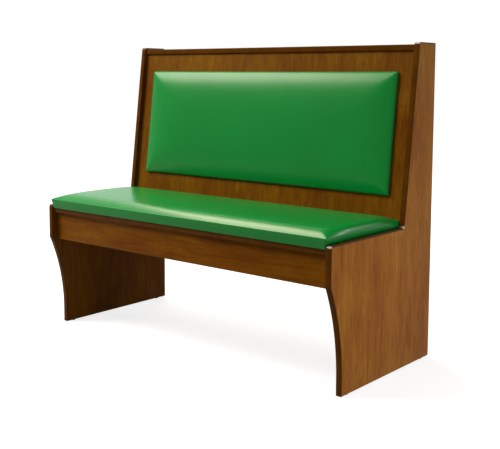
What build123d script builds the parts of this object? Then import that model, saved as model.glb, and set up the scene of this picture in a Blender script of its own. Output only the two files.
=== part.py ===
import os
from math import atan, cos, radians, sin, sqrt, tan

from build123d import *

os.makedirs("parts", exist_ok=True)

# A wooden booth bench for one side of a table: two veneered ends, a leaning back and two vinyl pads.
# X runs along the bench, the front faces -Y, Z is up, and the origin is on the floor under its middle.
# All lengths are in millimetres.

# The whole bench
overall_length = 1168.0
overall_depth = 540.0
overall_height = 965.0

# The ends, seen from the side
end_thickness = 18.0
seat_edge_over_deck = 12.0
back_foot_depth = 165.0
back_top_depth = 98.0
shoulder_height = 310.0
toe_height = 50.0
foot_setback = 57.0
shoulder_radius = 14.0
seat_corner_radius = 9.0
lap_corner_radius = 6.0
top_corner_radius = 9.0

# Edge moulding with a barbed tongue that is knocked into a routed kerf
moulding_cap = 4.0
moulding_lip_bevel = 1.2
moulding_crown = 0.8
tongue_length = 9.0
tongue_thickness = 1.6
barb_reach = 0.4
barb_length = 1.4
kerf_width = 2.6
kerf_depth = 10.5
tongue_notch_reach = 13.0

# Nail-on glides under the ends
glide_height = 3.0
glide_radius = 8.0
glide_flats = 12
glide_edge_bevel = 1.0
glide_nail_radius = 1.2
glide_nail_length = 14.0
glide_front_margin = 34.0
glide_rear_margin = 40.0

# Seat deck and the boards that carry it
deck_height = 410.0
deck_thickness = 15.0
deck_front_setback = 8.0
deck_strip_thickness = 3.0
deck_strip_radius = 1.0
apron_setback = 20.0
apron_thickness = 18.0
apron_height = 93.0
apron_edge_radius = 2.0
rail_thickness = 18.0
rear_seat_rail_height = 90.0
seat_cleat_width = 20.0
seat_cleat_height = 40.0
rib_thickness = 18.0
rib_height = 80.0
corner_block_leg = 45.0

# Leaning back panel, set behind the ends' leaning edges
back_recess = 14.0
back_panel_thickness = 12.0
batten_width = 20.0
batten_height = 30.0

# Cap board over the back
top_rail_drop = 7.0
top_rail_thickness = 18.0
top_rail_setback = 6.0

# Closed rear of the back
rear_panel_thickness = 6.0
rear_panel_recess = 1.0
rear_stretcher_height = 90.0
upper_rail_height = 60.0
rear_batten_width = 18.0

# Pads: a board, foam on it and a vinyl cover with a hem turned under the board.
# The crown falls away over a share of the pad's shorter side.
cover_thickness = 1.0
hem_width = 25.0
pad_clearance = 1.5
seat_pad_front_setback = 4.0
seat_pad_thickness = 47.0
seat_pad_board_thickness = 12.0
seat_pad_corner_radius = 12.0
seat_pad_crown_share = 0.288
seat_pad_draw_in = 2.0
seat_pad_overhang = 8.0
seat_pad_edge_clearance = 2.0
pad_taper_share = 0.1
back_pad_side_gap = 49.5
back_pad_foot_gap = 99.0
back_pad_top_gap = 63.0
back_pad_thickness = 24.0
back_pad_board_thickness = 6.0
back_pad_corner_radius = 14.0
back_pad_crown_share = 0.243
back_pad_draw_in = 2.0
back_pad_overhang = 0.0
breather_hole_radius = 12.0

# Rows of each pad's outline, from its board to its crown: height as a share of the pad's thickness,
# inset as a share of the crown's fall, then the shares of the draw-in and of the overhang.
# The seat pad stands straight up to just over the ends' seat edges, and swells over them from there.
seat_pad_foot_share = (seat_edge_over_deck + seat_pad_edge_clearance) / seat_pad_thickness
seat_pad_row_shares = (
    (0.00, 0.000, 0.2, 0.0), (seat_pad_foot_share, 0.000, 0.2, 0.0), (0.39, 0.000, 0.6, 0.9),
    (0.60, 0.010, 1.0, 1.0), (0.73, 0.065, 1.0, 1.0), (0.88, 0.330, 1.0, 1.0), (1.00, 1.000, 1.0, 1.0),
)
back_pad_row_shares = (
    (0.00, 0.000, 0.2, 0.0), (0.28, 0.000, 0.5, 0.0), (0.50, 0.050, 1.0, 0.0), (0.79, 0.370, 1.0, 0.0),
    (1.00, 1.000, 1.0, 0.0),
)

# Screws. They and their holes have a few flats in place of a round wall, to keep the mesh light.
screw_flats = 6
screw_radius = 2.0
screw_tip_radius = 0.4
screw_head_radius = 4.0
screw_clearance = 0.15
screw_point_length = 4.0
pan_head_height = 2.4
pan_head_top_radius = 2.8
cleat_screw_length = 32.0
deck_screw_length = 35.0
seat_pad_screw_length = 24.0
back_pad_screw_length = 15.0
rear_panel_screw_length = 18.0
top_rail_screw_length = 42.0
screw_tip_room = 1.0

# Places of the screws and holes, as shares of the board that they hold
cleat_screw_shares = (-0.32, 0.0, 0.32)
deck_screw_shares = (-0.2, 0.08, 0.36)
pad_screw_column_shares = (-0.38, -0.13, 0.13, 0.38)
pad_screw_row_shares = (-0.32, 0.32)
panel_screw_shares = (-0.42, -0.14, 0.14, 0.42)
breather_column_shares = (-0.25, 0.25)

# One length that carries every cut past the face it opens
overrun = 2.0

# Places worked out from the sizes above
front_y = -overall_depth / 2
rear_y = overall_depth / 2
inner_x = overall_length / 2 - end_thickness
inner_length = 2 * inner_x
seat_edge_height = deck_height + seat_edge_over_deck
lean = atan((back_foot_depth - back_top_depth) / (overall_height - seat_edge_height))
deck_underside = deck_height - deck_thickness
rail_underside = overall_height - top_rail_drop - top_rail_thickness


def leaning_y(height, behind=0.0):
    """Depth place at a height, a distance square behind the ends' leaning edges."""
    return rear_y - back_foot_depth + (height - seat_edge_height) * tan(lean) + behind / cos(lean)


panel_back = back_recess + back_panel_thickness
batten_back = panel_back + batten_width
deck_front_y = front_y + deck_front_setback + deck_strip_thickness
deck_rear_y = leaning_y(deck_height, batten_back)
apron_front_y = front_y + apron_setback
apron_rear_y = apron_front_y + apron_thickness
apron_underside = deck_underside - apron_height
seat_rail_rear_y = leaning_y(deck_height, panel_back)
seat_rail_front_y = seat_rail_rear_y - rail_thickness
rear_panel_front_y = rear_y - rear_panel_recess - rear_panel_thickness
rear_rail_front_y = rear_panel_front_y - rail_thickness
stretcher_top = apron_underside + rear_stretcher_height
upper_rail_underside = rail_underside - upper_rail_height
glide_spots = [
    (side * (inner_x + end_thickness / 2), y)
    for side in (-1, 1)
    for y in (front_y + foot_setback + glide_front_margin, rear_y - glide_rear_margin)
]


def save(piece, label):
    """Name a finished piece and write it to its own file."""
    piece.part.label = label
    export_step(piece.part, f"parts/{label}.step")


def save_pair(right_piece, name):
    """Write a right-hand piece and its mirror image."""
    save(right_piece, f"{name}_right")
    with BuildPart() as left_piece:
        mirror(right_piece.part, about=Plane.YZ)
    save(left_piece, f"{name}_left")


def outline(*points):
    """A closed straight-sided outline, in the sketch that calls it."""
    return Polygon(*points, align=None)


# Screws: a pointed shank under a countersunk or a pan head, and the holes that they go into
def flatted_rods(planes, stations, mode):
    """A straight-flanked rod on each plane, through stations of a height above it and a radius there."""
    sections = []
    for height, radius in stations:
        with BuildSketch(Plane.XY.offset(height)) as section:
            RegularPolygon(radius, screw_flats)
        sections.append(section.sketch)
    rod = loft(sections, ruled=True, mode=Mode.PRIVATE)
    with Locations(*planes):
        add(rod, mode=mode)


def save_screws(planes, length, label, countersunk=True):
    """A group of equal wood screws, whose head seats lie on their planes, pointing down."""
    tip = (-length, screw_tip_radius)
    point = (screw_point_length - length, screw_radius)
    with BuildPart() as group:
        if countersunk:
            neck = (screw_radius - screw_head_radius, screw_radius)
            flatted_rods(planes, [tip, point, neck, (0, screw_head_radius)], Mode.ADD)
        else:
            flatted_rods(planes, [tip, point, (0, screw_radius)], Mode.ADD)
            pan_head = [(0, screw_head_radius), (pan_head_height, pan_head_top_radius)]
            flatted_rods(planes, pan_head, Mode.ADD)
    save(group, label)


def plain_holes(planes, depth, radius=screw_radius + screw_clearance):
    """Straight holes, each drilled down from its plane."""
    flatted_rods(planes, [(-depth, radius), (0, radius)], Mode.SUBTRACT)


def sunk_holes(planes, depth):
    """Countersunk holes through the board that the screw heads lie in."""
    shank = screw_radius + screw_clearance
    head = screw_head_radius + screw_clearance
    stations = [(-depth - overrun, shank), (shank - head, shank), (0, head), (overrun, head)]
    flatted_rods(planes, stations, Mode.SUBTRACT)


def pilot_holes(planes, board, length):
    """Blind holes past the first board, with room for the screw tips."""
    plain_holes([plane.offset(-board) for plane in planes], length - board + screw_tip_room)


# Screw places. Each plane lies on the face that its screw is driven into and looks out of that face.
seat_cleat_length = seat_rail_front_y - apron_rear_y
seat_cleat_middle_y = (seat_rail_front_y + apron_rear_y) / 2
seat_cleat_screw_planes = [
    Plane(
        origin=(
            inner_x - seat_cleat_width,
            seat_cleat_middle_y + share * seat_cleat_length,
            deck_underside - seat_cleat_height / 2,
        ),
        z_dir=(-1, 0, 0),
    )
    for share in cleat_screw_shares
]
back_cleat_length = rail_underside - deck_height
back_cleat_screw_planes = []
for share in cleat_screw_shares:
    screw_z = (rail_underside + deck_height) / 2 + share * back_cleat_length
    back_cleat_screw_planes.append(
        Plane(
            origin=(inner_x - batten_width, leaning_y(screw_z, (panel_back + batten_back) / 2), screw_z),
            z_dir=(-1, 0, 0),
        )
    )
deck_screw_columns = (-inner_x + seat_cleat_width / 2, 0.0, inner_x - seat_cleat_width / 2)
deck_screw_planes = [
    Plane(origin=(x, seat_cleat_middle_y + share * seat_cleat_length, deck_height))
    for x in deck_screw_columns
    for share in deck_screw_shares
]

# Ends: plywood with a kerf along the visible edges


def end_outline(inset):
    """The end's outline with its visible edges set in; the floor and rear edges stay."""
    scoop_rise = shoulder_height - toe_height
    scoop_radius = (foot_setback**2 + scoop_rise**2) / (2 * foot_setback) + inset
    toe_y = front_y + foot_setback + inset
    edge_y = front_y + inset
    rise = sqrt(scoop_radius**2 - (scoop_radius - foot_setback) ** 2)
    half_turn = atan(rise / (scoop_radius - foot_setback)) / 2
    lap_z = seat_edge_height - inset
    top_z = overall_height - inset
    toe = (toe_y, toe_height)
    scoop_middle = (
        toe_y - scoop_radius * (1 - cos(half_turn)),
        toe_height + scoop_radius * sin(half_turn),
    )
    shoulder = (edge_y, toe_height + rise)
    seat_corner = (edge_y, lap_z)
    lap_corner = (leaning_y(lap_z, inset), lap_z)
    top_corner = (leaning_y(top_z, inset), top_z)
    with BuildSketch(Plane.YZ) as face:
        with BuildLine():
            Line((toe_y, glide_height), toe)
            ThreePointArc(toe, scoop_middle, shoulder)
            Polyline(shoulder, seat_corner, lap_corner, top_corner, (rear_y, top_z))
            Polyline((rear_y, top_z), (rear_y, glide_height), (toe_y, glide_height))
        make_face()
        for corner, radius in (
            (shoulder, shoulder_radius - inset),
            (seat_corner, seat_corner_radius - inset),
            (lap_corner, lap_corner_radius + inset),
            (top_corner, top_corner_radius - inset),
        ):
            if radius > 0:
                fillet(face.vertices().sort_by_distance(Vector(*corner))[0], radius)
    corners = (shoulder, seat_corner, lap_corner, top_corner)
    return face.sketch_local, corners


middle_of_end = Plane.YZ.offset(overall_length / 2 - end_thickness / 2)
board_face, board_corners = end_outline(moulding_cap)
kerf_floor, _ = end_outline(moulding_cap + kerf_depth)

with BuildPart() as end_panel:
    with BuildSketch(Plane.YZ.offset(inner_x)):
        add(board_face)
    extrude(amount=end_thickness)
    with BuildSketch(middle_of_end):
        add(board_face)
        add(kerf_floor, mode=Mode.SUBTRACT)
    extrude(amount=kerf_width / 2, both=True, mode=Mode.SUBTRACT)
    pilot_holes(seat_cleat_screw_planes, seat_cleat_width, cleat_screw_length)
    pilot_holes(back_cleat_screw_planes, batten_width, cleat_screw_length)
    nail_planes = [Plane(origin=(*spot, glide_height), z_dir=(0, 0, -1)) for spot in glide_spots[-2:]]
    plain_holes(nail_planes, glide_nail_length + screw_tip_room, glide_nail_radius + screw_clearance)
save_pair(end_panel, "end_panel")

# Edge mouldings: a crowned cap swept along the board's edge, and a barbed tongue cut away at the corners


def moulding_section(plane):
    """The moulding's cap seen end on: its flat back lies on the local X axis and it grows along -Y."""
    lip = (end_thickness / 2, moulding_crown - moulding_cap)
    far_lip = (-end_thickness / 2, moulding_crown - moulding_cap)
    with BuildSketch(plane) as section:
        with BuildLine():
            Polyline(far_lip, (-end_thickness / 2, 0), (end_thickness / 2, 0), lip)
            ThreePointArc(lip, (0, -moulding_cap), far_lip)
        make_face()
        chamfer(section.vertices().sort_by(Axis.Y)[:2], moulding_lip_bevel)
    return section.sketch


def tongue_bands():
    """How far each stretch of the tongue reaches in from the board's edge, and its thickness."""
    barb_pitch = tongue_length / 3
    bands = [(0, tongue_length, tongue_thickness)]
    for count in (1, 2):
        start = count * barb_pitch
        bands.append((start, start + barb_length, tongue_thickness + 2 * barb_reach))
    return bands


visible_edges = board_face.edges().filter_by(
    lambda edge: abs(edge.center().X - rear_y) > overrun and abs(edge.center().Y - glide_height) > overrun
)
edge_path = Wire([middle_of_end.location * edge for edge in visible_edges])
path_start = Plane(origin=edge_path @ 0, x_dir=(-1, 0, 0), z_dir=edge_path % 0)

with BuildPart() as end_moulding:
    sweep(moulding_section(path_start), path=edge_path)
    for reach_from, reach_to, thickness in tongue_bands():
        outer_face, _ = end_outline(moulding_cap + reach_from)
        inner_face, _ = end_outline(moulding_cap + reach_to)
        with BuildSketch(middle_of_end):
            add(outer_face)
            add(inner_face, mode=Mode.SUBTRACT)
            with Locations(*board_corners):
                Rectangle(2 * tongue_notch_reach, 2 * tongue_notch_reach, mode=Mode.SUBTRACT)
        extrude(amount=thickness / 2, both=True)
save_pair(end_moulding, "end_moulding")

# Cap board over the back, with the same moulding let into its front edge
top_rail_front_y = leaning_y(overall_height - top_rail_drop - top_rail_thickness / 2) + top_rail_setback
top_rail_edge_y = top_rail_front_y + moulding_cap
top_rail_middle_z = rail_underside + top_rail_thickness / 2
top_rail_start = Plane(
    origin=(inner_x, top_rail_edge_y, top_rail_middle_z),
    x_dir=(0, 0, 1),
    z_dir=(-1, 0, 0),
)
top_screw_y = leaning_y(rail_underside - batten_height / 2, (panel_back + batten_back) / 2)
top_screw_planes = [
    Plane(origin=(share * inner_length, top_screw_y, rail_underside - batten_height), z_dir=(0, 0, -1))
    for share in panel_screw_shares
]

with BuildPart() as top_rail:
    with BuildSketch(Plane.YZ):
        outline(
            (top_rail_edge_y, rail_underside),
            (rear_y - rear_panel_recess, rail_underside),
            (rear_y - rear_panel_recess, rail_underside + top_rail_thickness),
            (top_rail_edge_y, rail_underside + top_rail_thickness),
        )
    extrude(amount=inner_x, both=True)
    with BuildSketch(Plane.YZ):
        outline(
            (top_rail_edge_y - overrun, top_rail_middle_z - kerf_width / 2),
            (top_rail_edge_y + kerf_depth, top_rail_middle_z - kerf_width / 2),
            (top_rail_edge_y + kerf_depth, top_rail_middle_z + kerf_width / 2),
            (top_rail_edge_y - overrun, top_rail_middle_z + kerf_width / 2),
        )
    extrude(amount=inner_x, both=True, mode=Mode.SUBTRACT)
    pilot_holes(top_screw_planes, batten_height, top_rail_screw_length)
save(top_rail, "top_rail")

with BuildPart() as top_rail_moulding:
    extrude(moulding_section(top_rail_start), amount=inner_length)
    for reach_from, reach_to, thickness in tongue_bands():
        with BuildSketch(Plane.YZ):
            outline(
                (top_rail_edge_y + reach_from, top_rail_middle_z - thickness / 2),
                (top_rail_edge_y + reach_to, top_rail_middle_z - thickness / 2),
                (top_rail_edge_y + reach_to, top_rail_middle_z + thickness / 2),
                (top_rail_edge_y + reach_from, top_rail_middle_z + thickness / 2),
            )
        extrude(amount=inner_x, both=True)
save(top_rail_moulding, "top_rail_moulding")

# Seat deck, with its dark strip glued to the front edge
seat_pad_rear_y = leaning_y(deck_height, back_recess) - pad_clearance
seat_pad_front_y = front_y + seat_pad_front_setback
seat_pad_depth = seat_pad_rear_y - seat_pad_front_y
seat_pad_length = inner_length - 2 * pad_clearance
seat_pad_middle_y = (seat_pad_front_y + seat_pad_rear_y) / 2
seat_pad_screw_planes = [
    Plane(
        origin=(column * seat_pad_length, seat_pad_middle_y + row * seat_pad_depth, deck_underside),
        z_dir=(0, 0, -1),
    )
    for column in pad_screw_column_shares
    for row in pad_screw_row_shares
]

with BuildPart() as seat_deck:
    with BuildSketch(Plane.YZ):
        outline(
            (deck_front_y, deck_underside),
            (deck_rear_y, deck_underside),
            (deck_rear_y, deck_height),
            (deck_front_y, deck_height),
        )
    extrude(amount=inner_x, both=True)
    sunk_holes(deck_screw_planes, deck_thickness)
    plain_holes(seat_pad_screw_planes, deck_thickness + overrun)
save(seat_deck, "seat_deck")

with BuildPart() as deck_edge_strip:
    with BuildSketch(Plane.YZ) as strip_end:
        outline(
            (deck_front_y - deck_strip_thickness, deck_underside),
            (deck_front_y, deck_underside),
            (deck_front_y, deck_height),
            (deck_front_y - deck_strip_thickness, deck_height),
        )
        fillet(strip_end.vertices().sort_by(Axis.X)[:2], deck_strip_radius)
    extrude(amount=inner_x, both=True)
save(deck_edge_strip, "deck_edge_strip")

# Front apron, with its lower edges eased
with BuildPart() as front_apron:
    with BuildSketch(Plane.YZ) as apron_end:
        outline(
            (apron_front_y, apron_underside),
            (apron_rear_y, apron_underside),
            (apron_rear_y, deck_underside),
            (apron_front_y, deck_underside),
        )
        fillet(apron_end.vertices().sort_by(Axis.Y)[:2], apron_edge_radius)
    extrude(amount=inner_x, both=True)
save(front_apron, "front_apron")

# Boards that carry the deck: cleats on the ends, a rail under its rear edge and a rib in the middle
with BuildPart() as seat_cleat:
    with BuildSketch(Plane.YZ.offset(inner_x)):
        outline(
            (apron_rear_y, deck_underside - seat_cleat_height),
            (seat_rail_front_y, deck_underside - seat_cleat_height),
            (seat_rail_front_y, deck_underside),
            (apron_rear_y, deck_underside),
        )
    extrude(amount=-seat_cleat_width)
    sunk_holes(seat_cleat_screw_planes, seat_cleat_width)
    pilot_holes(deck_screw_planes[-len(deck_screw_shares):], deck_thickness, deck_screw_length)
save_pair(seat_cleat, "seat_cleat")

with BuildPart() as rear_seat_rail:
    with BuildSketch(Plane.YZ):
        outline(
            (seat_rail_front_y, deck_underside - rear_seat_rail_height),
            (seat_rail_rear_y, deck_underside - rear_seat_rail_height),
            (seat_rail_rear_y, deck_underside),
            (seat_rail_front_y, deck_underside),
        )
    extrude(amount=inner_x, both=True)
save(rear_seat_rail, "rear_seat_rail")

with BuildPart() as centre_seat_rib:
    with BuildSketch(Plane.YZ):
        outline(
            (apron_rear_y, deck_underside - rib_height),
            (seat_rail_front_y, deck_underside - rib_height),
            (seat_rail_front_y, deck_underside),
            (apron_rear_y, deck_underside),
        )
    extrude(amount=rib_thickness / 2, both=True)
    middle_column = deck_screw_planes[len(deck_screw_shares):2 * len(deck_screw_shares)]
    pilot_holes(middle_column, deck_thickness, deck_screw_length)
save(centre_seat_rib, "centre_seat_rib")

block_x = inner_x - seat_cleat_width
with BuildPart() as corner_blocks:
    for side in (-1, 1):
        for wall_y, inward in ((apron_rear_y, 1), (seat_rail_front_y, -1)):
            with BuildSketch(Plane.XY.offset(deck_underside - seat_cleat_height)):
                outline(
                    (side * block_x, wall_y),
                    (side * (block_x - corner_block_leg), wall_y),
                    (side * block_x, wall_y + inward * corner_block_leg),
                )
            extrude(amount=seat_cleat_height)
save(corner_blocks, "corner_blocks")

# Leaning back panel, and the cleats, battens and rib behind it. Its pad fills the field between four gaps.
back_pad_foot_z = deck_height + back_pad_foot_gap
back_pad_top_z = rail_underside - back_pad_top_gap
back_pad_middle_z = (back_pad_foot_z + back_pad_top_z) / 2
back_pad_height = (back_pad_top_z - back_pad_foot_z) / cos(lean)
back_pad_length = inner_length - 2 * back_pad_side_gap
back_pad_plane = Plane(
    origin=(0, leaning_y(back_pad_middle_z, back_recess), back_pad_middle_z),
    x_dir=(1, 0, 0),
    z_dir=(0, -cos(lean), sin(lean)),
)
back_pad_screw_planes = [
    Plane(
        origin=back_pad_plane.offset(-back_panel_thickness).from_local_coords(
            Vector(column * back_pad_length, row * back_pad_height)
        ),
        z_dir=-back_pad_plane.z_dir,
    )
    for column in pad_screw_column_shares
    for row in pad_screw_row_shares
]


def leaning_outline(low, high, near, far):
    """An outline between two heights and two distances behind the leaning edges."""
    outline(
        (leaning_y(low, near), low),
        (leaning_y(low, far), low),
        (leaning_y(high, far), high),
        (leaning_y(high, near), high),
    )


with BuildPart() as back_panel:
    with BuildSketch(Plane.YZ):
        leaning_outline(deck_height, rail_underside, back_recess, panel_back)
    extrude(amount=inner_x, both=True)
    plain_holes(back_pad_screw_planes, back_panel_thickness + overrun)
save(back_panel, "back_panel")

with BuildPart() as back_cleat:
    with BuildSketch(Plane.YZ.offset(inner_x)):
        leaning_outline(deck_height, rail_underside, panel_back, batten_back)
    extrude(amount=-batten_width)
    sunk_holes(back_cleat_screw_planes, batten_width)
save_pair(back_cleat, "back_cleat")

for label, low, high, planes in (
    ("lower_back_battens", deck_height, deck_height + batten_height, []),
    ("upper_back_battens", rail_underside - batten_height, rail_underside, top_screw_planes),
):
    with BuildPart() as battens:
        for side in (-1, 1):
            with BuildSketch(Plane.YZ.offset(side * rib_thickness / 2)):
                leaning_outline(low, high, panel_back, batten_back)
            extrude(amount=side * (inner_x - batten_width - rib_thickness / 2))
        if planes:
            plain_holes(planes, batten_height + overrun)
    save(battens, label)

with BuildPart() as centre_back_rib:
    with BuildSketch(Plane.YZ):
        rib_foot = deck_underside - rib_height
        outline(
            (seat_rail_rear_y, rib_foot),
            (seat_rail_rear_y, deck_underside),
            (deck_rear_y, deck_underside),
            (deck_rear_y, deck_height),
            (leaning_y(deck_height, panel_back), deck_height),
            (leaning_y(rail_underside, panel_back), rail_underside),
            (rear_rail_front_y, rail_underside),
            (rear_rail_front_y, upper_rail_underside),
            (rear_panel_front_y, upper_rail_underside),
            (rear_panel_front_y, stretcher_top),
            (rear_rail_front_y, stretcher_top),
            (rear_rail_front_y, rib_foot),
        )
    extrude(amount=rib_thickness / 2, both=True)
save(centre_back_rib, "centre_back_rib")

# Closed rear: two rails and two upright battens carry a thin panel, flush with the ends' rear edges
rear_screw_rows = (apron_underside + rear_stretcher_height / 2, rail_underside - upper_rail_height / 2)
rear_panel_screw_planes = [
    Plane(origin=(share * inner_length, rear_y - rear_panel_recess, z), z_dir=(0, 1, 0))
    for share in panel_screw_shares
    for z in rear_screw_rows
]


def rear_rail(low, high):
    """A rail between the ends, just inside the rear panel, with pilot holes for one row of its screws."""
    with BuildPart() as rail:
        with BuildSketch(Plane.YZ):
            outline(
                (rear_rail_front_y, low),
                (rear_panel_front_y, low),
                (rear_panel_front_y, high),
                (rear_rail_front_y, high),
            )
        extrude(amount=inner_x, both=True)
        row = [plane for plane in rear_panel_screw_planes if low < plane.origin.Z < high]
        pilot_holes(row, rear_panel_thickness, rear_panel_screw_length)
    return rail


save(rear_rail(apron_underside, stretcher_top), "rear_stretcher")
save(rear_rail(upper_rail_underside, rail_underside), "upper_back_rail")

with BuildPart() as rear_batten:
    with BuildSketch(Plane.YZ.offset(inner_x)):
        outline(
            (rear_rail_front_y, stretcher_top),
            (rear_panel_front_y, stretcher_top),
            (rear_panel_front_y, upper_rail_underside),
            (rear_rail_front_y, upper_rail_underside),
        )
    extrude(amount=-rear_batten_width)
save_pair(rear_batten, "rear_batten")

with BuildPart() as rear_panel:
    with BuildSketch(Plane.YZ):
        outline(
            (rear_panel_front_y, apron_underside),
            (rear_y - rear_panel_recess, apron_underside),
            (rear_y - rear_panel_recess, rail_underside),
            (rear_panel_front_y, rail_underside),
        )
    extrude(amount=inner_x, both=True)
    sunk_holes(rear_panel_screw_planes, rear_panel_thickness)
save(rear_panel, "rear_panel")

# Pads. Each lies on its own plane and grows along the plane's normal.


def pad_section(plane, length, depth, corner, draw_in, overhang):
    """One row of a pad: a rounded oblong whose sides draw in. Its overhang ends at the rear corners."""
    half_x, half_y, wide_x = length / 2, depth / 2, length / 2 + overhang
    near_x, near_y, near_wide_x = half_x - corner, half_y - corner, wide_x - corner
    corner_cut = corner * (1 - sin(radians(45)))
    round_x, round_y, round_wide_x = half_x - corner_cut, half_y - corner_cut, wide_x - corner_cut
    full_y = near_y - pad_taper_share * depth
    with BuildSketch(plane) as section:
        with BuildLine():
            Polyline((-near_wide_x, -half_y), (0, draw_in - half_y), (near_wide_x, -half_y))
            ThreePointArc((near_wide_x, -half_y), (round_wide_x, -round_y), (wide_x, -near_y))
            Polyline((wide_x, -near_y), (wide_x - draw_in, 0), (wide_x, full_y), (half_x, near_y))
            ThreePointArc((half_x, near_y), (round_x, round_y), (near_x, half_y))
            Polyline((near_x, half_y), (0, half_y - draw_in), (-near_x, half_y))
            ThreePointArc((-near_x, half_y), (-round_x, round_y), (-half_x, near_y))
            Polyline((-half_x, near_y), (-wide_x, full_y), (draw_in - wide_x, 0), (-wide_x, -near_y))
            ThreePointArc((-wide_x, -near_y), (-round_wide_x, -round_y), (-near_wide_x, -half_y))
        make_face()
    return section.sketch


def pad_body(plane, size, corner, crown_share, draw_in, overhang, row_shares, skin=0.0, mode=Mode.ADD):
    """The pad's crowned body, or the body inside its cover when a skin thickness is given."""
    length, depth, thickness = size
    sections = []
    for height_share, inset_share, draw_share, overhang_share in row_shares:
        inset = skin + inset_share * crown_share * depth
        height = skin + height_share * (thickness - 2 * skin)
        row = (length - 2 * inset, depth - 2 * inset)
        pulls = (draw_share * draw_in, overhang_share * overhang)
        sections.append(pad_section(plane.offset(height), *row, corner, *pulls))
    loft(sections, ruled=True, mode=mode)


def save_pad(name, form, board, screw_planes, screw_depth):
    """Write a pad's board, its foam and the cover that wraps both."""
    plane, (length, depth, _), corner = form[:3]
    foam_plane = plane.offset(cover_thickness + board)
    with BuildPart() as pad_board:
        pad_body(*form, skin=cover_thickness)
        split(bisect_by=foam_plane, keep=Keep.BOTTOM)
        with Locations(*[foam_plane * Pos(share * length, 0) for share in breather_column_shares]):
            Hole(breather_hole_radius)
        plain_holes(screw_planes, screw_depth)
    save(pad_board, f"{name}_board")
    with BuildPart() as foam:
        pad_body(*form, skin=cover_thickness)
        split(bisect_by=foam_plane, keep=Keep.TOP)
    save(foam, f"{name}_foam")
    with BuildPart() as cover:
        pad_body(*form)
        pad_body(*form, skin=cover_thickness, mode=Mode.SUBTRACT)
        with BuildSketch(plane):
            RectangleRounded(length - 2 * hem_width, depth - 2 * hem_width, corner)
        extrude(amount=cover_thickness, mode=Mode.SUBTRACT)
    save(cover, f"{name}_cover")


seat_pad_form = (
    Plane(origin=(0, seat_pad_middle_y, deck_height)),
    (seat_pad_length, seat_pad_depth, seat_pad_thickness),
    seat_pad_corner_radius,
    seat_pad_crown_share,
    seat_pad_draw_in,
    seat_pad_overhang,
    seat_pad_row_shares,
)
seat_pad_screw_depth = seat_pad_screw_length + screw_tip_room
save_pad("seat_pad", seat_pad_form, seat_pad_board_thickness, seat_pad_screw_planes, seat_pad_screw_depth)

back_pad_form = (
    back_pad_plane,
    (back_pad_length, back_pad_height, back_pad_thickness),
    back_pad_corner_radius,
    back_pad_crown_share,
    back_pad_draw_in,
    back_pad_overhang,
    back_pad_row_shares,
)
back_pad_screw_depth = back_pad_screw_length + screw_tip_room
save_pad("back_pad", back_pad_form, back_pad_board_thickness, back_pad_screw_planes, back_pad_screw_depth)

# Screws, in groups by what they hold
cleat_screw_planes = seat_cleat_screw_planes + back_cleat_screw_planes
far_cleat_screw_planes = [
    Plane(origin=(-plane.origin.X, plane.origin.Y, plane.origin.Z), z_dir=(1, 0, 0))
    for plane in cleat_screw_planes
]
save_screws(cleat_screw_planes + far_cleat_screw_planes, cleat_screw_length, "cleat_screws")
save_screws(deck_screw_planes, deck_screw_length, "deck_screws")
save_screws(seat_pad_screw_planes, seat_pad_screw_length, "seat_pad_screws", countersunk=False)
save_screws(back_pad_screw_planes, back_pad_screw_length, "back_pad_screws", countersunk=False)
save_screws(rear_panel_screw_planes, rear_panel_screw_length, "rear_panel_screws")
save_screws(top_screw_planes, top_rail_screw_length, "top_rail_screws", countersunk=False)

# Glides: a bevelled nylon button on a nail, two under each end
with BuildPart() as floor_glides:
    with BuildSketch(Plane.XY):
        with Locations(*glide_spots):
            RegularPolygon(glide_radius, glide_flats)
    extrude(amount=glide_height)
    chamfer(floor_glides.edges().group_by(Axis.Z)[0], glide_edge_bevel)
    with BuildSketch(Plane.XY.offset(glide_height)):
        with Locations(*glide_spots):
            RegularPolygon(glide_nail_radius, screw_flats)
    extrude(amount=glide_nail_length)
save(floor_glides, "floor_glides")
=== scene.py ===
# %% [markdown]
# # A wooden booth bench with two green vinyl pads
# The bench is already drawn as solids, one for each board, pad and screw. This lesson dresses
# those solids: it sets up a camera and a small studio, makes the finishes with shader nodes,
# and shapes two soft cushions in the place of the plain pads. All lengths are in metres.

# %% Load the frame and keep its size
from math import exp, pi, radians, sin

import bmesh
import bpy
from mathutils import Euler, Matrix, Quaternion, Vector


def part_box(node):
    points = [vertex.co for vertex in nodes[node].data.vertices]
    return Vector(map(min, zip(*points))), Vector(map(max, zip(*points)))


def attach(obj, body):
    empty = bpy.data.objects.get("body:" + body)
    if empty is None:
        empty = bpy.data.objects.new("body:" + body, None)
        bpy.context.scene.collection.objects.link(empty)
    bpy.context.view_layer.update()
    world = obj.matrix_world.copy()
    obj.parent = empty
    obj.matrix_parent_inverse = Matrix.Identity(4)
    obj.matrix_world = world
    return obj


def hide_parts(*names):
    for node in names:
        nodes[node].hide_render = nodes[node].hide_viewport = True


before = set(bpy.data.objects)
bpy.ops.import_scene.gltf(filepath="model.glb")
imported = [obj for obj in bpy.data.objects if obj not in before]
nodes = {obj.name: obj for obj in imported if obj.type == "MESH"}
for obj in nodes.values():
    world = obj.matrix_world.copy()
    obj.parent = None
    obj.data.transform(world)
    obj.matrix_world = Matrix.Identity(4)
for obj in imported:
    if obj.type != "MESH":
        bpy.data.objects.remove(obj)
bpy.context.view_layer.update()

# %% [markdown]
# ## The camera
# The bench is seen from the front right, from a little below the top of its back. The camera
# tips down slightly. A long lens well back keeps the upright edges nearly parallel, and a
# shift of the view frames the bench without tipping the camera further. The lens and the
# sensor are given in millimetres.

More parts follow.
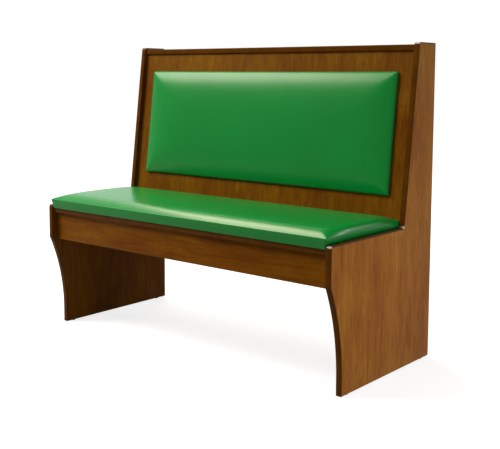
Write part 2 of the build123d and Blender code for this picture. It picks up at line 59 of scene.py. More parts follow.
# %% Set the camera
camera = bpy.data.objects.new("camera", bpy.data.cameras.new("camera"))
bpy.context.collection.objects.link(camera)
bpy.context.scene.camera = camera
camera_place = Vector((1.8701, -2.1585, 0.8607))
turn_left, tip_down, roll = radians(39.352), radians(5.683), radians(0.342)
camera.matrix_world = (
    Matrix.Translation(camera_place)
    @ Matrix.Rotation(turn_left, 4, "Z")
    @ Matrix.Rotation(pi / 2 - tip_down, 4, "X")
    @ Matrix.Rotation(roll, 4, "Z")
)
camera.data.sensor_width = 36.0
camera.data.lens = 64.005
camera.data.shift_x, camera.data.shift_y = -0.00686, -0.119
print("camera stands", round(camera_place.length, 2), "m from the floor under the bench's middle")

# %% [markdown]
# ## Node helpers
# Materials are trees of nodes. Three short helpers set or link a value, do one step of
# arithmetic, and map one range of values to another.

# %% Set, calculate and map values
def feed(tree, socket, value):
    """Sets a socket to a number or a colour, or links another node's output to it."""
    if isinstance(value, bpy.types.NodeSocket):
        tree.links.new(value, socket)
    elif isinstance(value, tuple):
        socket.default_value = (*value, 1)
    else:
        socket.default_value = value


def calculate(tree, operation, first, second=0.0):
    """One step of arithmetic. Each value is a number or another node's output."""
    step = tree.nodes.new("ShaderNodeMath")
    step.operation = operation
    feed(tree, step.inputs[0], first)
    feed(tree, step.inputs[1], second)
    return step.outputs[0]


def spread(tree, value, low, high, start=0.0, stop=1.0, smooth=False):
    """A value that runs from start to stop, mapped to the range from low to high."""
    scaler = tree.nodes.new("ShaderNodeMapRange")
    scaler.interpolation_type = "SMOOTHSTEP" if smooth else "LINEAR"
    scaler.inputs["From Min"].default_value = start
    scaler.inputs["From Max"].default_value = stop
    scaler.inputs["To Min"].default_value = low
    scaler.inputs["To Max"].default_value = high
    tree.links.new(value, scaler.inputs["Value"])
    return scaler.outputs["Result"]


# %% [markdown]
# ## The floor and the room
# The floor is plain and pale. The camera, and whatever mirrors the floor, sees it glow almost
# white by itself. Only a small part of what they see is lit by the lamps, and that part
# carries the bench's soft shadow. The glow grows with the distance, until the floor melts
# into the white backdrop. For the light that it throws back up it is an ordinary floor.

# %% Tell which rays see the backdrop
def seen_directly(tree):
    """1 for rays that show the backdrop: straight ones, mirrored ones and ones through glass."""
    path = tree.nodes.new("ShaderNodeLightPath")
    either = calculate(tree, "MAXIMUM", path.outputs["Is Camera Ray"], path.outputs["Is Glossy Ray"])
    return calculate(tree, "MAXIMUM", either, path.outputs["Is Transmission Ray"])


# %% Lay the floor
reach = 14.0
glow_near, glow_far = 0.80, 1.0
glow_grows_from, glow_grows_to = 0.9, 3.2
floor_mesh = bpy.data.meshes.new("studio_floor")
floor_mesh.from_pydata(
    [(-reach, -reach, 0), (reach, -reach, 0), (reach, reach, 0), (-reach, reach, 0)], [], [(0, 1, 2, 3)]
)
studio_floor = bpy.data.objects.new("studio_floor", floor_mesh)
bpy.context.collection.objects.link(studio_floor)

floor_paint = bpy.data.materials.new("floor_paint")
floor_paint.use_nodes = True
tree = floor_paint.node_tree
tree.nodes.clear()
lit_part = tree.nodes.new("ShaderNodeBsdfDiffuse")
lit_part.inputs["Color"].default_value = (0.30, 0.30, 0.30, 1)
where = tree.nodes.new("ShaderNodeTexCoord")
far_off = tree.nodes.new("ShaderNodeVectorMath")
far_off.operation = "LENGTH"
tree.links.new(where.outputs["Object"], far_off.inputs[0])
glow_strength = spread(
    tree, far_off.outputs["Value"], glow_near, glow_far,
    start=glow_grows_from, stop=glow_grows_to, smooth=True,
)
glow = tree.nodes.new("ShaderNodeEmission")
tree.links.new(glow_strength, glow.inputs["Strength"])
shown = tree.nodes.new("ShaderNodeAddShader")
tree.links.new(lit_part.outputs[0], shown.inputs[0])
tree.links.new(glow.outputs[0], shown.inputs[1])
pale = tree.nodes.new("ShaderNodeBsdfDiffuse")
pale.inputs["Color"].default_value = (0.24, 0.235, 0.23, 1)
choose = tree.nodes.new("ShaderNodeMixShader")
tree.links.new(seen_directly(tree), choose.inputs[0])
tree.links.new(pale.outputs[0], choose.inputs[1])
tree.links.new(shown.outputs[0], choose.inputs[2])
output = tree.nodes.new("ShaderNodeOutputMaterial")
tree.links.new(choose.outputs[0], output.inputs["Surface"])
floor_mesh.materials.append(floor_paint)
print("floor reaches", reach, "m each way")

# %% Fill the room with even light
room = bpy.data.worlds.new("studio_room")
bpy.context.scene.world = room
room.use_nodes = True
tree = room.node_tree
tree.nodes.clear()
backdrop = tree.nodes.new("ShaderNodeBackground")
backdrop.inputs["Color"].default_value = (1.0, 1.0, 1.0, 1)
backdrop.inputs["Strength"].default_value = 1.0
soft_fill = tree.nodes.new("ShaderNodeBackground")
soft_fill.inputs["Color"].default_value = (1.0, 0.985, 0.96, 1)
soft_fill.inputs["Strength"].default_value = 0.27
choose = tree.nodes.new("ShaderNodeMixShader")
tree.links.new(seen_directly(tree), choose.inputs[0])
tree.links.new(soft_fill.outputs[0], choose.inputs[1])
tree.links.new(backdrop.outputs[0], choose.inputs[2])
output = tree.nodes.new("ShaderNodeOutputWorld")
tree.links.new(choose.outputs[0], output.inputs["Surface"])
bpy.context.scene.view_settings.view_transform = "Standard"
print("room:", room.name)

# %% [markdown]
# ## The lamps
# Glossy vinyl shows its shape by the lamps that it mirrors. A square softbox hangs high on the
# front left, where the roll along the top of the back pad mirrors it. A long one hangs on the
# left behind the bench: only the roll along the front of the seat mirrors it, over the top
# rail. A third stands behind the bench for the roll at the seat's right end. A box high in
# front lights the flat surfaces and is mirrored by none of them, and a small one near the
# floor lights the right end. The two that make the long highlights are a little warm.

# %% Hang the softboxes
bench_middle = Vector((0.0, 0.0, 0.5))
white, faintly_warm, warm = (1.0, 1.0, 1.0), (1.0, 0.975, 0.93), (1.0, 0.86, 0.70)


def softbox(name, place, width, depth, watts, turn=0.0, colour=white):
    """A rectangular lamp that faces the bench, turned about the line to it."""
    lamp = bpy.data.lights.new(name, "AREA")
    lamp.shape = "RECTANGLE"
    lamp.size, lamp.size_y = width, depth
    lamp.energy = watts
    lamp.color = colour
    thing = bpy.data.objects.new(name, lamp)
    bpy.context.collection.objects.link(thing)
    thing.location = place
    aim = (bench_middle - Vector(place)).to_track_quat("-Z", "Y")
    thing.rotation_euler = (aim @ Quaternion((0, 0, 1), turn)).to_euler()
    thing.visible_camera = False
    print(name, "at", place, watts, "W")


softbox("front_box", (-2.80, -2.05, 3.45), 2.0, 2.0, 325, turn=radians(-57), colour=faintly_warm)
softbox("rear_box", (-2.10, 1.30, 3.30), 1.5, 2.8, 155, turn=radians(-38), colour=warm)
softbox("top_box", (-0.10, -1.60, 3.90), 2.0, 1.5, 24)
softbox("end_box", (1.30, 2.75, 3.20), 1.3, 1.0, 38)
softbox("right_box", (1.60, -0.12, 0.08), 0.5, 0.5, 9.5)

# %% [markdown]
# ## Helpers for the finishes
# A finish is a small tree of nodes. The nodes read object coordinates, which are metres on
# the bench, so grain and pores have their real size on every board. A pattern is drawn out
# along an axis by a stretch below 1, and that makes the grain.

# %% Directions of the grain
even = (1.0, 1.0, 1.0)
lengthwise = (0.06, 1.0, 1.0)
crosswise = (1.0, 0.06, 1.0)
upright = (1.0, 1.0, 0.06)


def drawn_out(along, stretch):
    """The same direction with another stretch on its long axis, the one that isn't 1."""
    return tuple(1.0 if a == 1.0 else stretch for a in along)


# %% Patterns and colours
def new_finish(name, roughness, specular, tint=(1.0, 1.0, 1.0)):
    """A material with its shader's constant values set. tint colours what it mirrors."""
    finish = bpy.data.materials.new(name)
    finish.use_nodes = True
    shader = finish.node_tree.nodes["Principled BSDF"]
    shader.inputs["Roughness"].default_value = roughness
    shader.inputs["Specular IOR Level"].default_value = specular
    shader.inputs["Specular Tint"].default_value = (*tint, 1)
    return finish, finish.node_tree, shader


def noise(tree, stretch, scale, detail=3.0, rough=0.55, distortion=0.0):
    """Grey noise of a given scale, stretched along the bench's axes."""
    where = tree.nodes.new("ShaderNodeTexCoord")
    squeeze = tree.nodes.new("ShaderNodeMapping")
    squeeze.inputs["Scale"].default_value = stretch
    tree.links.new(where.outputs["Object"], squeeze.inputs["Vector"])
    texture = tree.nodes.new("ShaderNodeTexNoise")
    texture.inputs["Scale"].default_value = scale
    texture.inputs["Detail"].default_value = detail
    texture.inputs["Roughness"].default_value = rough
    texture.inputs["Distortion"].default_value = distortion
    tree.links.new(squeeze.outputs["Vector"], texture.inputs["Vector"])
    return texture.outputs["Fac"]


def ramp(tree, factor, *stops):
    """A colour for each value of a grey: stops are (position, colour)."""
    band = tree.nodes.new("ShaderNodeValToRGB")
    steps = band.color_ramp.elements
    while len(steps) < len(stops):
        steps.new(0.5)
    for step, (position, colour) in zip(steps, stops):
        step.position = position
        step.color = (*colour, 1)
    tree.links.new(factor, band.inputs["Fac"])
    return band.outputs["Color"]


def mix(tree, factor, first, second, blend="MIX"):
    """Two colours mixed by a factor. The node has a set of sockets for each kind of value, and
    the numbers are those of its colour sockets."""
    mixer = tree.nodes.new("ShaderNodeMix")
    mixer.data_type = "RGBA"
    mixer.blend_type = blend
    factor_in, first_in, second_in = mixer.inputs[0], mixer.inputs[6], mixer.inputs[7]
    feed(tree, factor_in, factor)
    feed(tree, first_in, first)
    feed(tree, second_in, second)
    return mixer.outputs[2]


def tinted(tree, colour, pattern, *stops):
    """A colour multiplied by a tint, which a ramp picks for each grey of a pattern."""
    return mix(tree, 1.0, colour, ramp(tree, pattern, *stops), "MULTIPLY")


def paint(tree, shader, pattern, dark, light):
    """Colours the finish from dark to light by a pattern."""
    tree.links.new(ramp(tree, pattern, (0.3, dark), (0.7, light)), shader.inputs["Base Color"])


def raise_surface(tree, shader, height, depth, strength):
    """Fine relief: height 0 to 1 stands for a real depth in metres."""
    relief = tree.nodes.new("ShaderNodeBump")
    relief.inputs["Strength"].default_value = strength
    relief.inputs["Distance"].default_value = depth
    tree.links.new(height, relief.inputs["Height"])
    tree.links.new(relief.outputs["Normal"], shader.inputs["Normal"])


# %% [markdown]
# ## The veneer
# The boards are plywood faced with a thin sheet of stained hardwood under satin lacquer. Its
# colour has four sizes of detail: broad soft patches from the stain, bands a few centimetres
# wide, streaks a few millimetres wide, and fine dark pores. The grain runs up the ends and the
# back panels. On the apron and the rail it runs along the bench.

# %% Veneer with its grain along one axis
def veneer_colour(tree, along, dark, middle, light):
    """The stained wood's colour, and its pores as a pattern of their own."""
    plain = (1.0, 1.0, 1.0)
    patches = noise(tree, drawn_out(along, 0.40), 9.0, rough=0.6, distortion=0.4)
    bands = noise(tree, drawn_out(along, 0.14), 40.0, rough=0.6, distortion=0.3)
    streaks = noise(tree, along, 190.0, detail=5.0, rough=0.62, distortion=0.15)
    pores = noise(tree, drawn_out(along, 0.045), 900.0, detail=2.0)
    wood = ramp(tree, streaks, (0.30, dark), (0.50, middle), (0.72, light))
    wood = mix(tree, 0.45, wood, middle)
    wood = tinted(tree, wood, patches, (0.34, (0.86, 0.74, 0.62)), (0.50, plain), (0.66, (1.12, 1.22, 1.20)))
    wood = tinted(tree, wood, bands, (0.34, (0.86, 0.80, 0.76)), (0.50, plain), (0.66, (1.12, 1.15, 1.25)))
    wood = tinted(tree, wood, pores, (0.36, (0.72, 0.66, 0.60)), (0.46, plain))
    return wood, pores


def veneer(name, along, dark, middle, light, roughness=0.40):
    """A lacquered veneer finish."""
    finish, tree, shader = new_finish(name, roughness, specular=0.045, tint=(1.0, 0.78, 0.42))
    colour, pores = veneer_colour(tree, along, dark, middle, light)
    tree.links.new(colour, shader.inputs["Base Color"])
    sheen = noise(tree, even, 11.0)
    tree.links.new(spread(tree, sheen, roughness - 0.07, roughness + 0.08), shader.inputs["Roughness"])
    raise_surface(tree, shader, pores, depth=0.00025, strength=0.35)
    return finish


back_veneer = veneer(
    "back_veneer", upright,
    dark=(0.079, 0.0235, 0.0003), middle=(0.116, 0.0410, 0.0006), light=(0.160, 0.065, 0.0017),
)
apron_veneer = veneer(
    "apron_veneer", lengthwise,
    dark=(0.084, 0.0235, 0.0003), middle=(0.126, 0.0400, 0.0006), light=(0.171, 0.062, 0.0016),
)
print("veneers:", back_veneer.name, apron_veneer.name)

# %% [markdown]
# ## The bare edge of the plywood
# Where no moulding covers it, an end board shows its plies: thin layers that are lighter and
# darker in turn. A face that looks straight out to the side is veneer, and any other face of
# the board is cut edge, so the direction of the face chooses between the two finishes. The
# faces turned in to the bench are darkened as painted shade.

# %% Veneer for the ends, with plies on the cut edges
def end_board_finish(name, dark, middle, light, plies=9):
    """Veneer on the board's two faces, darkened on the inner one as painted shade, and plies on its cut
    edges.
    """
    finish = veneer(name, upright, dark, middle, light, roughness=0.38)
    tree = finish.node_tree
    shader = tree.nodes["Principled BSDF"]
    outer_colour = shader.inputs["Base Color"].links[0].from_socket
    where = tree.nodes.new("ShaderNodeTexCoord")
    place = tree.nodes.new("ShaderNodeSeparateXYZ")
    tree.links.new(where.outputs["Object"], place.inputs[0])
    board_low, board_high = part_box("end_panel_right")
    thickness = board_high.x - board_low.x
    layers = calculate(tree, "PINGPONG", place.outputs["X"], thickness / plies)
    ply_tone = calculate(tree, "MULTIPLY", layers, plies / thickness)
    ply_colour = ramp(tree, ply_tone, (0.42, (0.115, 0.055, 0.018)), (0.58, (0.26, 0.145, 0.055)))
    facing = tree.nodes.new("ShaderNodeNewGeometry")
    direction = tree.nodes.new("ShaderNodeSeparateXYZ")
    tree.links.new(facing.outputs["Normal"], direction.inputs[0])
    sideways = calculate(tree, "ABSOLUTE", direction.outputs["X"])
    is_face = calculate(tree, "GREATER_THAN", sideways, 0.9)
    outward = calculate(tree, "MULTIPLY", direction.outputs["X"], place.outputs["X"])
    is_inner = calculate(tree, "LESS_THAN", outward, 0.0)
    # painted shade: the inner faces are darkened to stand in for the shade inside the bench
    painted_shade_inner = mix(tree, 1.0, outer_colour, (0.50, 0.46, 0.20), "MULTIPLY")
    face_colour = mix(tree, is_inner, outer_colour, painted_shade_inner)
    tree.links.new(mix(tree, is_face, ply_colour, face_colour), shader.inputs["Base Color"])
    return finish


end_veneer = end_board_finish(
    "end_veneer", dark=(0.180, 0.055, 0.0030), middle=(0.265, 0.094, 0.0095), light=(0.345, 0.147, 0.0230)
)
print("end boards:", end_veneer.name)

# %% [markdown]
# ## The dark edge moulding
# A flexible plastic strip with a T-shaped section is tapped into a groove along each edge. It
# is dark brown and a little glossy, so its rounded lip draws a thin light line.

# %% Moulding plastic
edge_plastic, tree, shader = new_finish("edge_plastic", roughness=0.22, specular=0.05, tint=(1.0, 0.62, 0.28))
blotches = noise(tree, even, 22.0)
dark_brown = ramp(tree, blotches, (0.3, (0.050, 0.0145, 0.0002)), (0.7, (0.074, 0.023, 0.0005)))
scuffs = noise(tree, even, 160.0, detail=4.0, rough=0.7)
tree.links.new(spread(tree, scuffs, 0.18, 0.30), shader.inputs["Roughness"])
raise_surface(tree, shader, scuffs, depth=0.0002, strength=0.25)
print("moulding:", edge_plastic.name)

# %% [markdown]
# The strip is cut where it turns a sharp corner of the end board. On the right end each joint
# gets a painted highlight, a small light spot that stands in for a glint: on the seat's front
# corner, where the leaning edge starts, and at the top. The spots are placed by their distance
# from these corners. A distance across the strip counts for less, which draws the spots out
# over its width.

# %% Paint glints on the joints
seat_edge_z = 0.422
lean_foot_y, lean_top_y = 0.1085, 0.1735
across_strip = 0.3
spot_core, spot_edge = 0.0035, 0.0080
# painted highlight: the pale colour of the painted glints at the moulding's joints
glint_colour = (0.52, 0.46, 0.38)
moulding_low, moulding_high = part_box("end_moulding_right")
joints = ((moulding_low.y, seat_edge_z), (lean_foot_y, seat_edge_z), (lean_top_y, moulding_high.z))
where = tree.nodes.new("ShaderNodeTexCoord")
flat = tree.nodes.new("ShaderNodeVectorMath")
flat.operation = "MULTIPLY"
flat.inputs[1].default_value = (across_strip, 1.0, 1.0)
tree.links.new(where.outputs["Object"], flat.inputs[0])
distances = []
for y, z in joints:
    apart = tree.nodes.new("ShaderNodeVectorMath")
    apart.operation = "DISTANCE"
    apart.inputs[1].default_value = (across_strip * moulding_high.x, y, z)
    tree.links.new(flat.outputs[0], apart.inputs[0])
    distances.append(apart.outputs["Value"])
nearest = distances[0]
for distance in distances[1:]:
    nearest = calculate(tree, "MINIMUM", nearest, distance)
# painted highlight: pale spots around the right end's joints stand in for glints on its glossy corners
painted_glint = spread(tree, nearest, 0.85, 0.0, start=spot_core, stop=spot_edge, smooth=True)
tree.links.new(mix(tree, painted_glint, dark_brown, glint_colour), shader.inputs["Base Color"])
print("rubbed joints on the right end:", joints)

# %% [markdown]
# ## The timber, the hidden boards and the metal
# What carries the seat and the back is plain softwood, and each pad is stapled to a board.
# They show from below, so they get their own grain. The screws are plated steel and the
# glides under the ends are tough grey plastic.

# %% Softwood and pad boards
def softwood(name, along, dark, light):
    """Sawn softwood with broad growth bands."""
    finish, tree, shader = new_finish(name, roughness=0.62, specular=0.25)
    bands = noise(tree, along, 85.0, detail=4.0, rough=0.6, distortion=0.6)
    fibres = noise(tree, drawn_out(along, 0.03), 700.0)
    wood = ramp(tree, bands, (0.35, dark), (0.65, light))
    wood = tinted(tree, wood, fibres, (0.3, (0.82, 0.80, 0.76)), (0.6, (1.0, 1.0, 1.0)))
    tree.links.new(wood, shader.inputs["Base Color"])
    raise_surface(tree, shader, fibres, depth=0.0004, strength=0.4)
    return finish


sawn = {"dark": (0.30, 0.17, 0.075), "light": (0.47, 0.31, 0.16)}
rail_timber = softwood("rail_timber", lengthwise, **sawn)
post_timber = softwood("post_timber", upright, **sawn)
cleat_timber = softwood("cleat_timber", crosswise, **sawn)
deck_ply = softwood("deck_ply", lengthwise, dark=(0.36, 0.23, 0.12), light=(0.50, 0.35, 0.20))
pad_board_ply = softwood("pad_board_ply", lengthwise, dark=(0.33, 0.21, 0.11), light=(0.45, 0.31, 0.17))
print("timber:", rail_timber.name, post_timber.name, cleat_timber.name, deck_ply.name, pad_board_ply.name)

# %% Steel, glide plastic and foam
plated_steel, tree, shader = new_finish("plated_steel", roughness=0.32, specular=0.5)
shader.inputs["Metallic"].default_value = 1.0
tarnish = noise(tree, even, 420.0)
paint(tree, shader, tarnish, dark=(0.42, 0.39, 0.33), light=(0.62, 0.60, 0.55))
tree.links.new(spread(tree, tarnish, 0.24, 0.46), shader.inputs["Roughness"])

glide_plastic, tree, shader = new_finish("glide_plastic", roughness=0.5, specular=0.4)
grime = noise(tree, even, 180.0)
paint(tree, shader, grime, dark=(0.085, 0.082, 0.078), light=(0.16, 0.155, 0.15))
raise_surface(tree, shader, grime, depth=0.0002, strength=0.3)

pad_foam, tree, shader = new_finish("pad_foam", roughness=0.9, specular=0.1)
cells = noise(tree, even, 900.0, detail=2.0)
paint(tree, shader, cells, dark=(0.55, 0.47, 0.30), light=(0.78, 0.70, 0.50))
raise_surface(tree, shader, cells, depth=0.0008, strength=0.5)
print("others:", plated_steel.name, glide_plastic.name, pad_foam.name)

# %% [markdown]
# ## The vinyl
# The covers are green upholstery vinyl with a low gloss and a very fine pressed grain. The
# gloss is weak and slightly warm, so the green stays deep where no lamp is mirrored.

# %% Green vinyl
green_vinyl, tree, shader = new_finish("green_vinyl", roughness=0.25, specular=0.14, tint=(1.0, 0.94, 0.74))
tone = noise(tree, even, 6.0, detail=2.0)
paint(tree, shader, tone, dark=(0.0, 0.144, 0.0185), light=(0.0, 0.157, 0.0215))
pressed = noise(tree, even, 1300.0, detail=2.0, rough=0.5)
patchy = noise(tree, even, 30.0, detail=2.0)
tree.links.new(spread(tree, patchy, 0.22, 0.28), shader.inputs["Roughness"])
raise_surface(tree, shader, pressed, depth=0.0001, strength=0.06)
print("covers:", green_vinyl.name)

# %% [markdown]
# ## Give every solid its finish
# A table gives each solid its finish, grouped by kind, such as veneer or moulding. Inside a
# kind the grain direction of a board decides which of the finishes it takes.

# %% Assign the finishes
by_piece = {
    back_veneer: ["back_panel", "rear_panel"],
    apron_veneer: ["front_apron", "top_rail"],
    end_veneer: ["end_panel_left", "end_panel_right"],
    edge_plastic: ["end_moulding_left", "end_moulding_right", "top_rail_moulding", "deck_edge_strip"],
    deck_ply: ["seat_deck"],
    pad_board_ply: ["seat_pad_board", "back_pad_board"],
    rail_timber: ["rear_seat_rail", "rear_stretcher", "upper_back_rail", "lower_back_battens",
                  "upper_back_battens", "corner_blocks"],
    post_timber: ["rear_batten_left", "rear_batten_right", "back_cleat_left", "back_cleat_right",
                  "centre_back_rib"],
    cleat_timber: ["seat_cleat_left", "seat_cleat_right", "centre_seat_rib"],
    plated_steel: ["cleat_screws", "deck_screws", "seat_pad_screws", "back_pad_screws",
                   "rear_panel_screws", "top_rail_screws"],
    glide_plastic: ["floor_glides"],
    pad_foam: ["seat_pad_foam", "back_pad_foam"],
    green_vinyl: ["seat_pad_cover", "back_pad_cover"],
}
for finish, names in by_piece.items():
    for name in names:
        for slot in nodes[name].material_slots:
            slot.material = finish
unfinished = set(nodes) - {name for names in by_piece.values() for name in names}
print("solids with a finish:", len(nodes) - len(unfinished), "left out:", sorted(unfinished))

# %% [markdown]
# ## The cushions
# Each pad is a foam slab on a board, wrapped in vinyl that is pulled down tight over the
# edges. The pull rounds the foam's top edge into a quick roll, and from there the pad rises
# gently to its middle. At the corners two such rolls meet in a soft mitre.
#
# The cushion starts as a grid. Its lines are close together near the edges, where the shape
# turns fast, and wide apart in the middle. Every point gets its height from its distance to
# the nearest edge.

# %% Grid lines that gather at the edges
edge_steps = (0.0, 0.0012, 0.003, 0.0055, 0.009, 0.0135, 0.019, 0.026, 0.035, 0.047, 0.062, 0.080, 0.102)


def grid_lines(length, spacing=0.022):
    """Places of the grid lines from one edge of the pad to the other."""
    half = length / 2
    inner = half - edge_steps[-1]
    count = max(2, round(inner / spacing))
    right = [half - step for step in edge_steps] + [inner * (count - k) / count for k in range(1, count + 1)]
    left = [-place for place in right]
    return sorted(set(round(place, 6) for place in left + right))


print("lines across a pad 1 m long:", len(grid_lines(1.0)))


# %% The pad's height at a distance from its edge
def nearest_edge(side_gap, end_gap, sharpness):
    """Distance to the nearest edge, blended where two edges are equally near."""
    near, far = sorted((max(side_gap, 1e-6), max(end_gap, 1e-6)))
    return near * (1 + (near / far) ** sharpness) ** (-1 / sharpness)


def pad_height(distance, wall, crown, crown_width, lip=0.0, lip_width=1.0, roll=0.0, roll_width=1.0):
    """The wall's height, a small lip and a quick roll, then a crown that ends flat."""
    left = max(0.0, 1 - distance / crown_width)
    rounded = lip * (1 - exp(-distance / lip_width)) + roll * (1 - exp(-distance / roll_width))
    return wall + rounded + crown * (1 - left * left)


def into_round_corner(side_gap, end_gap, radius):
    """Moves a point of the corner's square onto a quarter disc: returns its two new gaps."""
    a, b = max(0.0, 1 - side_gap / radius), max(0.0, 1 - end_gap / radius)
    if a == 0 or b == 0:
        return side_gap, end_gap
    return radius * (1 - a * (1 - b * b / 2) ** 0.5), radius * (1 - b * (1 - a * a / 2) ** 0.5)


def ease(value, start, stop):
    """A smooth step from 0 to 1 between two values."""
    share = min(1.0, max(0.0, (value - start) / (stop - start)))
    return share * share * (3 - 2 * share)


# %% The walls between the underside and the top
lean_power = 1.2


def add_walls(skin, low_rim, high_rim, straight_x, straight_y, wall_rows, bulge, foot):
    """Rows of faces that join the underside's rim to the top's.

    The rim is straight up to straight_x and straight_y from the middle, and turns a corner beyond
    them. The end walls rise straight up to the foot, which is a share of their height, and lean
    out from there."""
    rings = [low_rim]
    for share in wall_rows:
        ring = []
        for low, high in zip(low_rim, high_rim):
            inner_x = max(-straight_x, min(straight_x, high.co.x))
            inner_y = max(-straight_y, min(straight_y, high.co.y))
            out = Vector((high.co.x, high.co.y, 0)) - Vector((inner_x, inner_y, 0))
            out.normalize()
            start = foot * abs(out.x)
            lean_out = max(0.0, (share - start) / (1 - start)) ** lean_power
            point = low.co.lerp(high.co, lean_out)
            point.z = low.co.z + (high.co.z - low.co.z) * share
            ring.append(skin.verts.new(point + out * bulge * sin(pi * share)))
        rings.append(ring)
    rings.append(high_rim)
    for lower, upper in zip(rings, rings[1:]):
        for k in range(len(low_rim)):
            n = (k + 1) % len(low_rim)
            skin.faces.new((lower[k], lower[n], upper[n], upper[k]))


# %% Build a cushion's closed skin
underside_lift = 0.0004
crisp_reach = 0.13
overhang_fades_from, overhang_gone_at = 0.090, 0.030


def cushion_skin(name, place, size, corner, draw_in, profile, wall_rows, bulge,
                 overhang=0.0, nose=0.0, foot=0.5, crisp_ends=1.0, mitre=6.0):
    """A closed mesh in the place of a pad: crowned top, bulging walls and a flat underside.

    place maps the pad's own axes to the bench: length, width and away from the board. The top may
    overhang its two ends, apart from the rear corners, and stand out at the front by its nose.
    crisp_ends makes the roll along the two ends narrower by that factor, away from the corners,
    and a low mitre rounds the corners off."""
    length, width = size
    wide = length + 2 * overhang
    across, along = grid_lines(wide), grid_lines(width)
    last_a, last_b = len(across) - 1, len(along) - 1

    def ground(u, v):
        """The point on the board below a grid point."""
        side_gap, end_gap = into_round_corner(wide / 2 - abs(u), width / 2 - abs(v), corner)
        x = (wide / 2 - side_gap) * (1 if u > 0 else -1)
        y = (width / 2 - end_gap) * (1 if v > 0 else -1)
        x *= 1 - draw_in * (1 - (2 * v / width) ** 2) / (wide / 2)
        y *= 1 - draw_in * (1 - (2 * u / wide) ** 2) / (width / 2)
        return x, y

    skin = bmesh.new()
    top, under = {}, {}
    for i, u in enumerate(across):
        for j, v in enumerate(along):
            x, y = ground(u, v)
            crisp = 1 + (crisp_ends - 1) * ease(width / 2 - abs(v), 0.0, crisp_reach)
            from_edge = nearest_edge(crisp * (wide / 2 - abs(u)), width / 2 - abs(v), mitre)
            held_back = ease(v, width / 2 - overhang_fades_from, width / 2 - overhang_gone_at)
            nosed = y - nose * (0.5 - v / width) ** 2
            rise = pad_height(from_edge, **profile)
            top[i, j] = skin.verts.new((x * (1 - held_back * overhang / (wide / 2)), nosed, rise))
            under[i, j] = skin.verts.new((x * length / wide, y, underside_lift))
    for i in range(last_a):
        for j in range(last_b):
            skin.faces.new((top[i, j], top[i + 1, j], top[i + 1, j + 1], top[i, j + 1]))
            skin.faces.new((under[i, j], under[i, j + 1], under[i + 1, j + 1], under[i + 1, j]))
    rim = [(i, 0) for i in range(last_a)] + [(last_a, j) for j in range(last_b)]
    rim += [(i, last_b) for i in range(last_a, 0, -1)] + [(0, j) for j in range(last_b, 0, -1)]
    low_rim, high_rim = [under[key] for key in rim], [top[key] for key in rim]
    add_walls(skin, low_rim, high_rim, wide / 2 - corner, width / 2 - corner, wall_rows, bulge, foot)
    bmesh.ops.recalc_face_normals(skin, faces=skin.faces)
    mesh = bpy.data.meshes.new(name)
    skin.to_mesh(mesh)
    skin.free()
    mesh.transform(place)
    mesh.polygons.foreach_set("use_smooth", [True] * len(mesh.polygons))
    cushion = bpy.data.objects.new(name, mesh)
    bpy.context.collection.objects.link(cushion)
    print(name, "has", len(mesh.polygons), "faces")
    return cushion


# %% [markdown]
# ## Fill the cushions
# Foam pushes the cover outwards from within. A short cloth simulation with air pressure does
# the same: the underside and the foot of the walls are pinned to the board, and the rest
# swells until the vinyl holds it. No point may move further than about two millimetres, so
# the pad keeps its size.

# %% Swell a cushion
def swell(cushion, place, pinned_below, most, pressure=4.0, frames=20):
    """Runs the cloth and keeps as much of its shape as moves no point further than the most."""
    mesh = cushion.data
    into_pad = place.inverted()
    free_above = 2.0 * pinned_below
    start = [v.co.copy() for v in mesh.vertices]
    held = cushion.vertex_groups.new(name="held")
    held.add([v.index for v in mesh.vertices if (into_pad @ v.co).z < pinned_below], 1.0, "REPLACE")
    cloth = cushion.modifiers.new("vinyl", "CLOTH")
    cloth.settings.quality = 6
    cloth.settings.mass = 0.6
    cloth.settings.tension_stiffness = 40
    cloth.settings.compression_stiffness = 40
    cloth.settings.shear_stiffness = 20
    cloth.settings.bending_stiffness = 4
    cloth.settings.use_pressure = True
    cloth.settings.uniform_pressure_force = pressure
    cloth.settings.vertex_group_mass = "held"
    cloth.settings.effector_weights.gravity = 0.0
    cloth.collision_settings.use_collision = False
    scene = bpy.context.scene
    for moment in range(1, frames + 1):
        scene.frame_set(moment)
    blown = cushion.evaluated_get(bpy.context.evaluated_depsgraph_get()).to_mesh()
    moved = [v.co.copy() for v in blown.vertices]
    cushion.modifiers.remove(cloth)
    furthest = max((now - was).length for was, now in zip(start, moved))
    kept = min(1.0, most / furthest)
    for v, was, now in zip(mesh.vertices, start, moved):
        v.co = was.lerp(now, kept * ease((into_pad @ was).z, pinned_below, free_above))
    scene.frame_set(1)
    print(cushion.name, "swelled by up to", round(furthest * 1000, 1), "mm before the limit")


def finish_cushion(cushion):
    """One subdivision, kept in the mesh, and the vinyl on it."""
    modifier = cushion.modifiers.new("smooth", "SUBSURF")
    modifier.levels = modifier.render_levels = 1
    shaped = bpy.data.meshes.new_from_object(
        cushion.evaluated_get(bpy.context.evaluated_depsgraph_get())
    )
    cushion.modifiers.remove(modifier)
    cushion.data = shaped
    cushion.data.materials.clear()
    cushion.data.materials.append(green_vinyl)


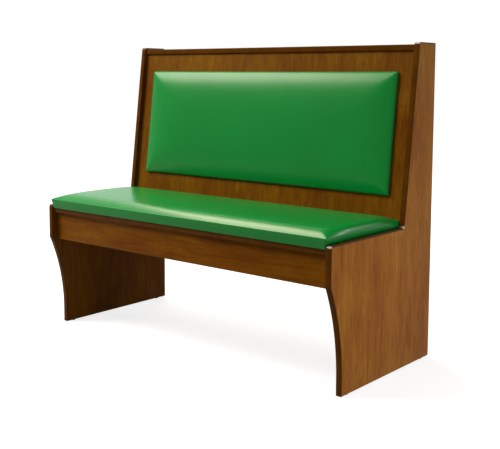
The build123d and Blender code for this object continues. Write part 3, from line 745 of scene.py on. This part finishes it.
# %% [markdown]
# ## The seat cushion
# The seat pad lies on the deck. It is about 47 mm thick in the middle, with walls of about
# 31 mm. Its top stands out over the ends' seat edges, and its front wall leans out to a soft
# nose.

# %% Make the seat cushion
gap_beside_pad = 0.0015
seat_low, seat_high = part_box("seat_pad_cover")
deck_low, deck_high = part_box("seat_deck")
seat_place = Matrix.Translation(((seat_low.x + seat_high.x) / 2, (seat_low.y + seat_high.y) / 2, seat_low.z))
seat_size = (deck_high.x - deck_low.x - 2 * gap_beside_pad, seat_high.y - seat_low.y)
seat_cushion = cushion_skin(
    "seat_cushion", seat_place, seat_size, corner=0.004, draw_in=0.001,
    profile={"wall": 0.0306, "crown": 0.0162, "crown_width": 0.055},
    wall_rows=(0.03, 0.25, 0.46, 0.50, 0.55, 0.62, 0.74, 0.87), bulge=0.0005,
    overhang=0.0065, nose=0.006, foot=0.30, crisp_ends=2.1, mitre=2.8,
)
swell(seat_cushion, seat_place, pinned_below=0.014, most=0.002)
finish_cushion(seat_cushion)
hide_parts("seat_pad_cover", "seat_pad_foam")
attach(seat_cushion, "root")

# %% [markdown]
# ## The back cushion
# The back pad is thinner and lies against the leaning panel. Its crown reaches to its middle,
# so that light from above fades evenly down its face.

# %% Make the back cushion
lean = radians(7.034)
back_size = (1.033, 0.3708)
back_middle = Vector((0.0, 0.1526, 0.693))
back_place = Matrix.Translation(back_middle) @ Euler((pi / 2 - lean, 0, 0)).to_matrix().to_4x4()
back_cushion = cushion_skin(
    "back_cushion", back_place, back_size, corner=0.005, draw_in=0.001,
    profile={
        "wall": 0.0065, "crown": 0.0015, "crown_width": 0.185,
        "lip": 0.0028, "lip_width": 0.0028, "roll": 0.0150, "roll_width": 0.045,
    },
    wall_rows=(0.06, 0.3, 0.6, 0.85), bulge=0.0004,
)
swell(back_cushion, back_place, pinned_below=0.0065, most=0.0015)
finish_cushion(back_cushion)
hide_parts("back_pad_cover", "back_pad_foam")
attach(back_cushion, "root")
print("back cushion has", len(back_cushion.data.polygons), "faces after smoothing")
